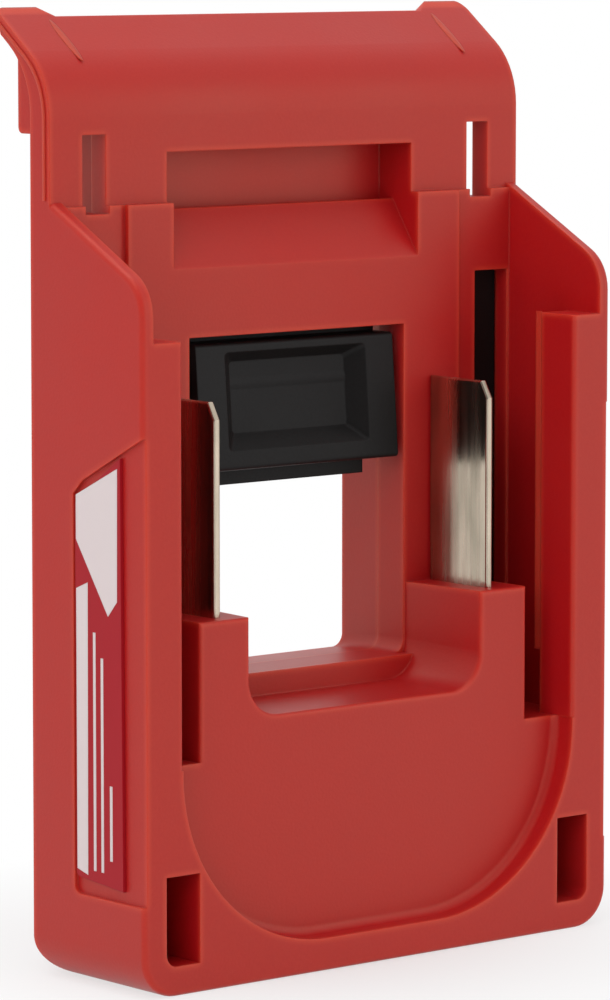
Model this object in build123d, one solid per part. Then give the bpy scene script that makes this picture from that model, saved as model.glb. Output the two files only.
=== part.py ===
"""Slide-on adapter that carries one shape of tool battery and latches into a tool made for another."""

import os

from build123d import *

# Every length is in millimetres. X runs across the width, Y from front to back, Z up.

# Outer body
half_width = 33.0
body_depth = 19.2
depth_at_head = 18.98
front_corner_radius = 4.35
back_corner_radius = 4.0
front_edge_radius = 0.6
overrun = 40.0
joggle = 1.0

# Shoulder and head
shoulder_corner_height = 74.53
shoulder_radius = 5.0
shoulder_top = 82.83
head_front = 15.66
head_bend_drop = 7.1
head_bend_radius = 8.7
lip_tip_back = 25.2
lip_tip_top = 103.1
lip_tip_lean = 1.1
lip_tip_face = 2.8
lip_under_back = lip_tip_back - lip_tip_lean
lip_under_height = lip_tip_top - lip_tip_face
lip_inner_drop = 6.6
lip_inner_corner = lip_tip_top - lip_inner_drop
lip_inner_radius = 9.0
head_bend_corner = lip_tip_top - head_bend_drop
lug_width = 5.5
lug_slope = 1.65
lug_inner = half_width - lug_width
lug_foot = lug_inner - lug_slope
lug_rise = 1.0
lug_corner_radius = 1.1
head_block_inset = 0.7
head_block_half = half_width - head_block_inset
head_block_back = 22.0
head_block_bottom = 89.9
head_block_drop = 4.3
head_block_top = lip_tip_top - head_block_drop
head_block_radius = 0.7
head_hollow_front = 18.5
head_hollow_back = 20.4
head_hollow_drop = 6.1
head_hollow_top = lip_tip_top - head_hollow_drop
head_rib = 1.2
head_rib_inset = 7.8
head_rib_outer = half_width - head_rib_inset

# Side rails that hold the battery
wall = 1.5
wall_inner = half_width - wall
lip_width = 5.36
lip_inner = half_width - lip_width
lip_depth = 5.4
lip_edge_radius = 0.5
lip_top = 68.9
channel_bottom = 23.9
side_slot_top = 73.1
side_slot_width = 4.9
side_slot_ledge = 0.3
side_slot_outer = wall_inner - side_slot_ledge
side_slot_inner = side_slot_outer - side_slot_width

# Panel behind the battery
panel_side = 15.06
panel_middle = 14.46
panel_step_width = 8.02
panel_middle_half = wall_inner - panel_step_width
panel_back = 17.06
panel_top = 82.3
head_panel_back = 18.2

# Pocket and ramp in the panel
pocket_half = 17.3
pocket_top = 87.7
pocket_back = 21.1
pocket_wall = 1.5
ramp_foot = 75.2
ramp_top = 81.4
ramp_back = 18.8
ramp_edge = 0.6
pocket_drop = 78.6
pocket_underside = 77.0

# Sight slots below the head
sight_slot_width = 3.13
sight_slot_edge = 4.34
sight_slot_outer = half_width - sight_slot_edge
sight_slot_inner = sight_slot_outer - sight_slot_width
sight_slot_bottom = 81.4
sight_slot_top = 89.8

# Window through the panel
window_half = 15.25
window_bottom = 30.85
window_top = 67.72
window_radius = 1.5
collar_wall = 1.6
window_flare = 0.6

# Terminal block
plate_front = 2.8
plate_wall = 3.4
block_step = 0.28
block_half = panel_middle_half - block_step
post_top = 38.8
post_edge_radius = 0.35
tray_flare = 1.3
tray_margin = 0.25
tray_half_front = window_half + tray_flare
tray_half_back = window_half + tray_margin
tray_bottom = 28.0
tray_rise = 0.3
tray_radius = 4.1
tray_open_top = 50.0
sill_front = 12.9
block_wall = 1.6
floor_wall = 2.0

# Round recess and pockets in the base
dish_overlap = 0.06
dish_half = lip_inner + dish_overlap
dish_bottom = 3.6
dish_round_share = 0.713
dish_radius = dish_half * dish_round_share
dish_floor_radius = 0.9
drain_width = 4.5
drain_edge = 3.0
drain_outer = half_width - drain_edge
drain_inner = drain_outer - drain_width
drain_bottom = 3.2
drain_top = 12.8
drain_radius = 1.4

# Space inside
bottom_wall = 2.2
bottom_wall_back = 4.5
bottom_step = 14.5
cavity_half = half_width - floor_wall
cavity_top = 80.6

# Label
label_recess = 0.45
label_recess_top = 59.65
label_recess_shoulder = 54.0
label_recess_shoulder_back = 10.3
label_recess_back = 11.9
label_recess_bottom = 9.9
label_recess_radius = 0.9
label_thickness = 0.4
label_front = 3.9
label_front_low = 3.6
label_back = 11.6
label_top = 56.8
label_top_back = 51.7
label_bottom = 11.1
label_bottom_back = 11.8
label_radius = 0.7

# Inner carrier and rear cover
part_gap = 0.14
carrier_front = panel_back + part_gap
seam = 18.9
cover_back = 20.9
plate_side_gap = 0.3
plate_half = wall_inner - plate_side_gap
plate_bottom = 4.7
plate_top = 80.3
plate_radius = 1.0
collar_gap = 0.3
arm_gap_bottom = 64.0
notch_half = pocket_half + pocket_wall + collar_gap
notch_bottom = 76.6
rail_inset = 6.5
rail_lip = 3.0
rail_half = half_width - rail_inset
rail_neck_half = rail_half - rail_lip
rail_neck_back = 23.3
rail_back = 25.7
rail_bottom = 8.0
rail_top = 75.4
rail_radius = 1.0
rail_wall = 1.7
screw_boss_radius = 4.1

# Latch lever
pivot_back = seam
pivot_height = 62.0
pin_radius = 1.2
pin_half = 16.8
pin_chamfer = 0.2
pin_play = 0.05
lever_side_gap = 1.25
lever_half = window_half - lever_side_gap
pad_bottom = 53.0
pad_gap = 0.87
pad_top = window_top - pad_gap
pad_front_low = 13.94
pad_front_high = 15.05
pad_radius = 0.5
dimple_half_share = 0.714
dimple_half = lever_half * dimple_half_share
dimple_rim_low = 2.1
dimple_rim_high = 1.0
dimple_low = pad_bottom + dimple_rim_low
dimple_high = pad_top - dimple_rim_high
dimple_slope = 1.85
dimple_floor_half = dimple_half - dimple_slope
dimple_slope_low = 1.9
dimple_slope_high = 1.05
dimple_floor_low = dimple_low + dimple_slope_low
dimple_floor_high = dimple_high - dimple_slope_high
dimple_depth = 1.7
lever_back = 20.2
bar_drop = 1.8
bar_bottom = pad_bottom - bar_drop
bar_front = 16.8
hub_radius = 2.6
lever_wall = 1.7
arm_half = 8.0
arm_front = 19.3
arm_back = 21.8
arm_rise = 8.65
arm_top = pad_top + arm_rise
hook_half = 6.0
hook_back = 27.0
hook_deep = 5.0
hook_tip = 2.7
hook_foot = arm_top - hook_deep
hook_low = arm_top - hook_tip

arm_gap = 0.4
arm_gap_half = lever_half + arm_gap
stop_front = 18.3
stop_rise = 2.35
stop_top = pad_top + stop_rise
bar_half_share = 0.8
bar_half = lever_half * bar_half_share

# Latch springs
spring_across = 5.0
spring_drop = 3.5
spring_height = arm_top - spring_drop
spring_radius = 1.5
spring_wire = 0.36
spring_seat = 21.0
spring_pocket_radius = 2.1
spring_stud_radius = 0.9
spring_stud = 1.0
spring_pitch = 1.02
spring_end_gap = 0.03

# Battery blades
blade_inner = 18.9
blade_thickness = 0.9
blade_outer = blade_inner + blade_thickness
blade_front = 4.6
blade_back = 14.3
blade_top = 61.75
blade_corner_deep = 1.1
blade_corner_high = 1.9
blade_edge_radius = 0.25
tail_front = 6.5
tail_back = 12.0
tail_bottom = 17.5
fit_gap = 0.05

# Links and tool clips
link_thickness = 0.8
link_outer = blade_outer + link_thickness
link_front = 7.0
link_back = 24.6
link_bottom = 21.0
link_top = 27.0
link_slot_gap = 0.3
clip_thickness = 0.5
clip_inner = 18.0
clip_front = 21.3
clip_back = 25.0
clip_bottom = 13.0
clip_slot_inner = 17.4
clip_slot_outer = 21.8
clip_slot_top = 27.6
rivet_radius = 0.8
rivet_head_radius = 1.4
rivet_head = 0.55
rivet_height = 24.0
rivet_front = 9.2
rivet_back = 23.2

# Contact holder
holder_gap = 0.2
holder_half = block_half - block_wall - holder_gap
holder_front = 6.3
holder_back = 16.9
holder_bottom = 13.4
holder_top = 20.4
holder_relief_half = 14.5
holder_relief_top = 17.0

# Screws and their bosses
screw_radius = 1.3
screw_pass_radius = 1.5
screw_head_radius = 2.2
screw_head = 1.3
screw_head_play = 0.35
recess_long = 1.3
recess_wide = 0.3
recess_deep = 0.8
low_screw_across = 12.0
low_screw_height = 11.6
low_screw_tip = 9.0
boss_radius = 2.8
high_screw_inset = 11.4
high_screw_across = half_width - high_screw_inset
high_screw_height = 78.0
high_screw_tip = 15.3

# Whole part stands centred on its own depth
row_shift = Pos(0, -hook_back / 2, 0)
sides = (-1, 1)


def block(x0, x1, y0, y1, z0, z1):
    """Box between two corners."""
    return Pos((x0 + x1) / 2, (y0 + y1) / 2, (z0 + z1) / 2) * Box(x1 - x0, y1 - y0, z1 - z0)


def front_plane(y):
    """Plane seen from the front, with X across and Z up."""
    return Plane(origin=(0, y, 0), x_dir=(1, 0, 0), z_dir=(0, -1, 0))


def side_plane(x):
    """Plane seen from the side, with Y across and Z up."""
    return Plane(origin=(x, 0, 0), x_dir=(0, 1, 0), z_dir=(1, 0, 0))


def slab(outline, y0, y1):
    """Front outline carried from y0 back to y1."""
    return extrude(front_plane(y1) * outline, amount=y1 - y0)


def bar(outline, x0, x1):
    """Side outline carried from x0 across to x1."""
    return extrude(side_plane(x0) * outline, amount=x1 - x0)


def shape(*points):
    """Flat face with straight edges."""
    return make_face(Polyline(*points, close=True))


def rounded(outline, spots, radius):
    """Flat face with the corners nearest to the spots rounded."""
    picked = []
    for y, z in spots:
        picked.append(min(outline.vertices(), key=lambda v: abs(v.X - y) + abs(v.Y - z)))
    return fillet(picked, radius)


def frame_rect(half, low, high, radius):
    """Rectangle centred across the width with equal round corners."""
    return Pos(0, (low + high) / 2) * RectangleRounded(2 * half, high - low, radius)


def window_face(margin, radius):
    """Window outline grown by a margin, with round corners below and square ones above."""
    height = window_top - window_bottom + 2 * margin
    face = Pos(0, (window_bottom + window_top) / 2) * Rectangle(2 * (window_half + margin), height)
    return fillet(face.vertices().group_by(Axis.Y)[0], radius)


def pair(build):
    """The same shape on the left and on the right."""
    made = build()
    return made + made.mirror(Plane.YZ)


def round_along_y(x, z, radius, y0, y1):
    """Round bar that runs from front to back."""
    return extrude(front_plane(y1) * (Pos(x, z) * Circle(radius)), amount=y1 - y0)


def round_along_x(y, z, radius, x0, x1):
    """Round bar that runs across the width."""
    return extrude(side_plane(x0) * (Pos(y, z) * Circle(radius)), amount=x1 - x0)


def body_outline():
    """Side outline of the moulding from foot to lip."""
    lip_slope_end = (lip_tip_back, lip_tip_top)
    corners = [
        (0, 0),
        (0, shoulder_corner_height),
        (head_front, shoulder_top),
        (head_front, head_bend_corner),
        lip_slope_end,
        (lip_under_back, lip_under_height),
        (depth_at_head, lip_inner_corner),
        (body_depth, 0),
    ]
    face = shape(*corners)
    face = rounded(face, [(0, shoulder_corner_height)], shoulder_radius)
    face = rounded(face, [(head_front, head_bend_corner)], head_bend_radius)
    face = rounded(face, [(depth_at_head, lip_inner_corner)], lip_inner_radius)
    return rounded(face, [(body_depth, 0)], back_corner_radius)


def front_outline():
    """Front outline of the moulding with the two lugs on its lip."""
    low_top = lip_tip_top - lug_rise
    face = shape(
        (-half_width, 0),
        (half_width, 0),
        (half_width, lip_tip_top),
        (lug_inner, lip_tip_top),
        (lug_foot, low_top),
        (-lug_foot, low_top),
        (-lug_inner, lip_tip_top),
        (-half_width, lip_tip_top),
    )
    face = rounded(face, [(-half_width, 0), (half_width, 0)], front_corner_radius)
    return rounded(face, [(-half_width, lip_tip_top), (half_width, lip_tip_top)], lug_corner_radius)


def dish():
    """Round-bottomed recess in the front of the base."""
    face = shape(
        (-dish_half, channel_bottom),
        (-dish_half, dish_bottom),
        (dish_half, dish_bottom),
        (dish_half, channel_bottom),
    )
    spots = [(-dish_half, dish_bottom), (dish_half, dish_bottom)]
    space = slab(rounded(face, spots, dish_radius), -joggle, plate_front)
    floor_edges = space.faces().sort_by(Axis.Y)[-1].edges().sort_by(Axis.Z)[:-1]
    return fillet(floor_edges, dish_floor_radius)


def tray():
    """Open-topped recess between the posts, narrower at the back."""
    ends = []
    for depth, half, low in (
        (plate_front - joggle, tray_half_front, tray_bottom),
        (panel_middle, tray_half_back, tray_bottom + tray_rise),
    ):
        ends.append(front_plane(depth) * frame_rect(half, low, tray_open_top, tray_radius))
    return loft(ends)


def terminal_block():
    """Two posts and the plate between them, with soft front edges."""
    low = channel_bottom - floor_wall
    posts = block(-block_half, block_half, plate_front, panel_side, low, post_top) - tray()
    front = posts.faces().sort_by(Axis.Y)[0].edges().sort_by(Axis.Z)[1:]
    return fillet(front, post_edge_radius)


def pocket_space():
    """Hollow of the pocket with the ramp left standing."""
    outline = shape(
        (panel_middle - joggle, ramp_foot),
        (panel_middle, ramp_foot),
        (ramp_back, ramp_top),
        (ramp_back + ramp_edge, ramp_top),
        (ramp_back + ramp_edge, pocket_drop),
        (pocket_back, pocket_drop),
        (pocket_back, pocket_top),
        (panel_middle - joggle, pocket_top),
    )
    return bar(outline, -pocket_half, pocket_half)


def pocket_shell():
    """Wall that closes the pocket at the back."""
    half = pocket_half + pocket_wall
    front = panel_back - pocket_wall / 2
    back = pocket_back + pocket_wall
    shell = block(-half, half, front, back, pocket_underside, head_block_bottom)
    rib_half = head_rib_outer - head_rib
    rib = block(rib_half, head_rib_outer, front, head_block_back, cavity_top, head_block_bottom + joggle)
    return shell + pair(lambda: rib)


def label_pocket():
    """Shallow side recess that is open towards the front edge."""
    outline = shape(
        (-joggle, label_recess_top),
        (label_recess_shoulder_back, label_recess_shoulder),
        (label_recess_back, label_recess_shoulder - pocket_wall),
        (label_recess_back, label_recess_bottom),
        (-joggle, label_recess_bottom),
    )
    spots = [
        (label_recess_shoulder_back, label_recess_shoulder),
        (label_recess_back, label_recess_bottom),
    ]
    outline = rounded(outline, spots, label_recess_radius)
    return bar(outline, half_width - label_recess, half_width + joggle)


def battery_channel():
    """Space that the battery's rails slide down into."""
    mouth = block(-lip_inner, lip_inner, -joggle, panel_side, channel_bottom, panel_top)
    flanges = block(-wall_inner, wall_inner, lip_depth, panel_side, channel_bottom, panel_top)
    above = block(-wall_inner, wall_inner, -joggle, panel_side, lip_top, panel_top)
    over = block(-wall_inner, wall_inner, -joggle, head_front, panel_top, lip_inner_corner)
    return mouth + flanges + above + over


def base_space():
    """Hollow of the base and of the two posts, open at the back."""
    room_front = plate_front + plate_wall
    floor = channel_bottom - floor_wall
    low = block(-cavity_half, cavity_half, room_front, bottom_step, bottom_wall, floor)
    rear = block(-wall_inner, wall_inner, bottom_step - joggle, overrun, bottom_wall_back, floor)
    middle_half = block_half - block_wall
    shelf = tray_bottom - block_wall
    middle = block(-middle_half, middle_half, room_front, overrun, floor - joggle, shelf)
    tower = block(
        tray_half_front + block_wall, middle_half, room_front, overrun, shelf - joggle, post_top - block_wall
    )
    return low + rear + middle + tower + tower.mirror(Plane.YZ)


def spring_studs():
    """Pegs behind the panel that centre the latch springs."""
    return pair(
        lambda: round_along_y(
            spring_across, spring_height, spring_stud_radius, panel_back - joggle, panel_back + spring_stud
        )
    )


def housing():
    """Front moulding with rails, panel, terminal block and head."""
    body = bar(body_outline(), -half_width, half_width) & slab(front_outline(), -joggle, overrun)
    head_block = bar(
        rounded(
            shape(
                (head_panel_back - joggle, head_block_bottom),
                (head_block_back, head_block_bottom),
                (head_block_back, head_block_top),
                (head_panel_back, lip_inner_corner),
            ),
            [(head_block_back, head_block_bottom)],
            head_block_radius,
        ),
        -head_block_half,
        head_block_half,
    )
    body += head_block
    rim = body.faces().sort_by(Axis.Y)[0].edges().sort_by(Axis.Z)[:-1]
    body = fillet(rim, front_edge_radius)
    body -= battery_channel()
    lips = body.edges().filter_by(Axis.Z).filter_by_position(Axis.Y, -fit_gap, fit_gap)
    lips = lips.filter_by_position(Axis.X, -lip_inner - fit_gap, lip_inner + fit_gap)
    body = fillet(lips, lip_edge_radius)
    body -= dish()
    middle = block(
        -panel_middle_half, panel_middle_half, panel_middle, panel_side, channel_bottom, panel_top
    )
    body += middle
    body += terminal_block()
    body -= tray()
    sill_half = window_half + block_wall
    sill = block(-sill_half, sill_half, sill_front, panel_side, tray_bottom, window_bottom)
    body += sill
    body -= block(-wall_inner, wall_inner, panel_back, overrun, bottom_wall_back, cavity_top)
    body -= block(-wall_inner, wall_inner, head_panel_back, overrun, cavity_top - joggle, head_block_bottom)
    hollow_half = head_block_half - wall
    hollow_foot = head_block_bottom - joggle
    body -= block(
        -hollow_half, hollow_half, head_hollow_front, head_hollow_back, hollow_foot, head_hollow_top
    )
    body -= base_space()
    body += slab(window_face(collar_wall, window_radius + collar_wall), panel_side, seam)
    body += pocket_shell()
    body -= pocket_space()
    body -= slab(window_face(0, window_radius), -joggle, overrun)
    body -= block(-arm_gap_half, arm_gap_half, panel_back, overrun, arm_gap_bottom, notch_bottom)
    body -= pair(
        lambda: block(
            side_slot_inner, side_slot_outer, lip_depth, overrun, channel_bottom, side_slot_top
        )
    )
    body -= pair(
        lambda: block(
            sight_slot_inner, sight_slot_outer, -joggle, overrun, sight_slot_bottom, sight_slot_top
        )
    )
    drain = shape(
        (drain_inner, drain_bottom),
        (drain_outer, drain_bottom),
        (drain_outer, drain_top),
        (drain_inner, drain_top),
    )
    drain = rounded(drain, [(drain_outer, drain_bottom)], drain_radius)
    body -= pair(lambda: slab(drain, -joggle, plate_front + plate_wall + joggle))
    body -= pair(label_pocket)
    blade_slot = block(
        blade_inner - fit_gap,
        blade_outer + fit_gap,
        tail_front - fit_gap,
        tail_back + fit_gap,
        post_top - block_wall - joggle,
        post_top + joggle,
    )
    panel_slot = block(
        blade_inner - fit_gap,
        blade_outer + fit_gap,
        panel_middle - joggle,
        blade_back + fit_gap,
        post_top,
        blade_top + fit_gap,
    )
    body -= pair(lambda: blade_slot + panel_slot)
    boss_front = plate_front + plate_wall / 2
    boss = round_along_y(low_screw_across, low_screw_height, boss_radius, boss_front, panel_back)
    body += pair(lambda: boss)
    bore = round_along_y(low_screw_across, low_screw_height, screw_radius, low_screw_tip, overrun)
    bore += round_along_y(high_screw_across, high_screw_height, screw_radius, high_screw_tip, overrun)
    body -= pair(lambda: bore)
    body += spring_studs()
    body -= round_along_x(pivot_back, pivot_height, pin_radius, -pin_half, pin_half)
    return body


def plate_openings(y0, y1):
    """Holes that the carrier and the cover share."""
    window = slab(window_face(collar_wall + collar_gap, window_radius + collar_wall), y0, y1)
    passage = block(-arm_gap_half, arm_gap_half, y0, y1, arm_gap_bottom, notch_bottom + joggle)
    notch = block(-notch_half, notch_half, y0, y1, notch_bottom, overrun + plate_top)
    return window, passage + notch


def screw_passes(y0, y1, radius):
    """Four screw holes of one radius."""
    low = round_along_y(low_screw_across, low_screw_height, radius, y0, y1)
    high = round_along_y(high_screw_across, high_screw_height, radius, y0, y1)
    return pair(lambda: low + high)


def link_passes(y0, y1):
    """Slots that let the two links through."""
    return pair(
        lambda: block(
            blade_outer - link_slot_gap,
            link_outer + link_slot_gap,
            y0,
            y1,
            link_bottom - link_slot_gap,
            link_top + link_slot_gap,
        )
    )


def inner_carrier():
    """Black plate between the two mouldings."""
    plate = slab(frame_rect(plate_half, plate_bottom, plate_top, plate_radius), carrier_front, seam)
    window, passage = plate_openings(carrier_front - joggle, seam + joggle)
    plate -= window
    plate -= passage
    plate -= screw_passes(carrier_front - joggle, seam + joggle, screw_pass_radius)
    return plate - link_passes(carrier_front - joggle, seam + joggle)


def rail_hollows():
    """Hollows inside the rail, around the window, the screws and the clips."""
    inner = window_half + window_flare + collar_wall
    side = block(
        inner,
        rail_neck_half - rail_wall,
        seam - joggle,
        rail_back - rail_wall,
        clip_slot_top + rail_wall,
        rail_top - rail_wall,
    )
    low = block(
        0,
        clip_slot_inner - rail_wall,
        seam - joggle,
        rail_back - rail_wall,
        rail_bottom + rail_wall,
        window_bottom - window_flare - collar_wall,
    )
    low -= round_along_y(low_screw_across, low_screw_height, screw_boss_radius, seam - joggle, rail_back)
    return pair(lambda: side + low)


def rear_cover():
    """Rear moulding with the slide rail that enters the tool."""
    cover = slab(frame_rect(plate_half, plate_bottom, plate_top, plate_radius), seam, cover_back)
    cover += slab(frame_rect(rail_neck_half, rail_bottom, rail_top, rail_radius), seam, rail_back)
    cover += slab(frame_rect(rail_half, rail_bottom, rail_top, rail_radius), rail_neck_back, rail_back)
    inlet = front_plane(seam - joggle) * window_face(0, window_radius)
    outlet = front_plane(rail_back + joggle) * window_face(window_flare, window_radius)
    flared = loft([inlet, outlet])
    cover -= rail_hollows()
    cover -= flared
    cover -= plate_openings(seam - joggle, rail_back + joggle)[1]
    cover -= screw_passes(seam - joggle, rail_back + joggle, screw_pass_radius)
    cover -= screw_passes(cover_back, rail_back + joggle, screw_head_radius + screw_head_play)
    cover -= link_passes(seam - joggle, rail_back + joggle)
    cover -= pair(
        lambda: block(
            clip_slot_inner,
            clip_slot_outer,
            cover_back,
            rail_back + joggle,
            rail_bottom - joggle,
            clip_slot_top,
        )
    )
    return cover - round_along_x(pivot_back, pivot_height, pin_radius, -pin_half, pin_half)


def latch_lever():
    """Black rocker with its pad in front and its hook at the back."""
    face = shape(
        (pad_front_low, pad_bottom),
        (pad_front_high, pad_top),
        (stop_front, pad_top),
        (stop_front, stop_top),
        (lever_back, stop_top),
        (lever_back, pad_bottom),
    )
    lever = bar(face, -lever_half, lever_half)
    rim = lever.edges().filter_by_position(Axis.Y, pad_front_low - fit_gap, pad_front_high + fit_gap)
    lever = fillet(rim.filter_by(Axis.X), pad_radius)
    tilt = Plane(
        origin=(0, (pad_front_low + pad_front_high) / 2, (pad_bottom + pad_top) / 2),
        x_dir=(1, 0, 0),
        z_dir=(0, pad_bottom - pad_top, pad_front_high - pad_front_low),
    )
    middle = (pad_bottom + pad_top) / 2
    opening = Pos(0, (dimple_low + dimple_high) / 2 - middle) * RectangleRounded(
        2 * dimple_half, dimple_high - dimple_low, pad_radius
    )
    floor = Pos(0, (dimple_floor_low + dimple_floor_high) / 2 - middle) * RectangleRounded(
        2 * dimple_floor_half, dimple_floor_high - dimple_floor_low, pad_radius
    )
    dimple = loft([tilt * opening, tilt.offset(-dimple_depth) * floor])
    lever -= dimple
    hollow_front = pad_front_high + dimple_depth + lever_wall
    hollow = block(
        lever_wall - lever_half,
        lever_half - lever_wall,
        hollow_front,
        lever_back + joggle,
        pad_bottom + lever_wall,
        pad_top - lever_wall,
    )
    lever -= hollow
    lever += round_along_x(pivot_back, pivot_height, hub_radius, -lever_half, lever_half)
    web = block(
        -lever_wall / 2, lever_wall / 2, hollow_front - joggle, lever_back, bar_bottom, pad_top
    )
    lever += web
    lever += block(-bar_half, bar_half, bar_front, lever_back, bar_bottom, pad_bottom + lever_wall)
    arm = block(-arm_half, arm_half, arm_front, arm_back, pivot_height, arm_top)
    hook = bar(
        shape(
            (arm_back - joggle, hook_foot),
            (arm_back, hook_foot),
            (hook_back, hook_low),
            (hook_back, arm_top),
            (arm_back - joggle, arm_top),
        ),
        -hook_half,
        hook_half,
    )
    lever += arm + hook
    lever -= pair(
        lambda: round_along_y(
            spring_across, spring_height, spring_pocket_radius, arm_front - joggle, spring_seat
        )
    )
    return lever - round_along_x(
        pivot_back, pivot_height, pin_radius + pin_play, -half_width, half_width
    )


def pivot_pin():
    """Steel pin that the lever rocks on."""
    pin = round_along_x(pivot_back, pivot_height, pin_radius, -pin_half, pin_half)
    return chamfer(pin.edges(), pin_chamfer)


def latch_spring(across):
    """Small compression spring between the panel and the lever's arm."""
    length = spring_seat - panel_back - spring_wire - 2 * spring_end_gap
    coil = Helix(pitch=spring_pitch, height=length, radius=spring_radius)
    wire = sweep(Plane(coil @ 0, z_dir=coil % 0) * Circle(spring_wire / 2), path=coil, is_frenet=True)
    seat = panel_back + spring_wire / 2 + spring_end_gap
    return Pos(across, seat, spring_height) * Rot(-90, 0, 0) * wire


def battery_blade(side):
    """Flat metal blade that enters the battery's slot."""
    outline = shape(
        (blade_front, post_top),
        (blade_front, blade_top - blade_corner_high),
        (blade_front + blade_corner_deep, blade_top),
        (blade_back, blade_top),
        (blade_back, post_top),
        (tail_back, post_top),
        (tail_back, tail_bottom),
        (tail_front, tail_bottom),
        (tail_front, post_top),
    )
    blade = bar(outline, blade_inner, blade_outer)
    blade -= round_along_x(rivet_front, rivet_height, rivet_radius, blade_inner - joggle, link_outer)
    return blade if side > 0 else blade.mirror(Plane.YZ)


def contact_link(side):
    """Flat copper strip from blade to tool clip."""
    strip = block(blade_outer, link_outer, link_front, link_back, link_bottom, link_top)
    for spot in (rivet_front, rivet_back):
        strip -= round_along_x(spot, rivet_height, rivet_radius, blade_inner, link_outer + joggle)
    return strip if side > 0 else strip.mirror(Plane.YZ)


def tool_clip(side):
    """Folded clip that grips the tool's blade."""
    clip = block(clip_inner, blade_outer, clip_front, clip_back, clip_bottom, link_top)
    clip -= block(
        clip_inner + clip_thickness,
        blade_outer - clip_thickness,
        clip_front + clip_thickness,
        clip_back + joggle,
        clip_bottom - joggle,
        link_top + joggle,
    )
    clip -= round_along_x(
        rivet_back, rivet_height, rivet_radius, blade_outer - clip_thickness - fit_gap, link_outer
    )
    return clip if side > 0 else clip.mirror(Plane.YZ)


def link_rivets(side):
    """Two rivets that hold one link."""
    made = []
    for spot, start in ((rivet_front, blade_inner), (rivet_back, blade_outer - clip_thickness)):
        rivet = round_along_x(spot, rivet_height, rivet_radius, start, link_outer)
        rivet += round_along_x(
            spot, rivet_height, rivet_head_radius, link_outer, link_outer + rivet_head
        )
        made.append(rivet if side > 0 else rivet.mirror(Plane.YZ))
    return Compound(children=made)


def contact_holder():
    """Black bar that holds the lower ends of both blades."""
    holder = block(-holder_half, holder_half, holder_front, holder_back, holder_bottom, holder_top)
    holder -= block(
        -holder_relief_half,
        holder_relief_half,
        holder_front - joggle,
        holder_back + joggle,
        holder_bottom - joggle,
        holder_relief_top,
    )
    slot = block(
        blade_inner - fit_gap,
        blade_outer + fit_gap,
        tail_front - fit_gap,
        tail_back + fit_gap,
        tail_bottom - fit_gap,
        holder_top + joggle,
    )
    return holder - pair(lambda: slot)


def label_plate():
    """Thin label on the left side."""
    outline = shape(
        (label_front, label_top),
        (label_back, label_top_back),
        (label_back, label_bottom_back),
        (label_front_low, label_bottom),
    )
    outline = rounded(outline, [(label_back, label_top_back), (label_back, label_bottom_back)], label_radius)
    face = half_width - label_recess
    return bar(outline, face, face + label_thickness).mirror(Plane.YZ)


def cover_screw(across, height, tip):
    """One pan-head screw with a cross recess."""
    screw = round_along_y(across, height, screw_radius, tip, cover_back)
    head = round_along_y(across, height, screw_head_radius, cover_back, cover_back + screw_head)
    rim = head.edges().sort_by(Axis.Y)[-1]
    screw += fillet(rim, screw_head / 2)
    top = cover_back + screw_head
    for long_side, short_side in ((recess_long, recess_wide), (recess_wide, recess_long)):
        screw -= block(
            across - long_side,
            across + long_side,
            top - recess_deep,
            top + joggle,
            height - short_side,
            height + short_side,
        )
    return screw


def cover_screws():
    """Four screws through the rear cover."""
    made = []
    for side in sides:
        made.append(cover_screw(side * low_screw_across, low_screw_height, low_screw_tip))
        made.append(cover_screw(side * high_screw_across, high_screw_height, high_screw_tip))
    return Compound(children=made)


nodes = {
    "housing": housing(),
    "inner_carrier": inner_carrier(),
    "rear_cover": rear_cover(),
    "latch_lever": latch_lever(),
    "latch_pivot_pin": pivot_pin(),
    "latch_spring_left": latch_spring(-spring_across),
    "latch_spring_right": latch_spring(spring_across),
    "battery_blade_left": battery_blade(-1),
    "battery_blade_right": battery_blade(1),
    "contact_link_left": contact_link(-1),
    "contact_link_right": contact_link(1),
    "tool_clip_left": tool_clip(-1),
    "tool_clip_right": tool_clip(1),
    "link_rivets_left": link_rivets(-1),
    "link_rivets_right": link_rivets(1),
    "contact_holder": contact_holder(),
    "label_plate": label_plate(),
    "cover_screws": cover_screws(),
}

os.makedirs("parts", exist_ok=True)
for name, solid in nodes.items():
    moved = [row_shift * piece for piece in solid.solids()]
    export_step(moved[0] if len(moved) == 1 else Compound(children=moved), f"parts/{name}.step")
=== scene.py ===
"""Dresses the slide-on tool battery adapter.

Moulded plastics, plated blades, a film label, wound springs and a plain studio.
"""

import math
import bmesh
import bpy
from bpy.props import FloatProperty, FloatVectorProperty, PointerProperty
from mathutils import Matrix, Vector


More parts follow.
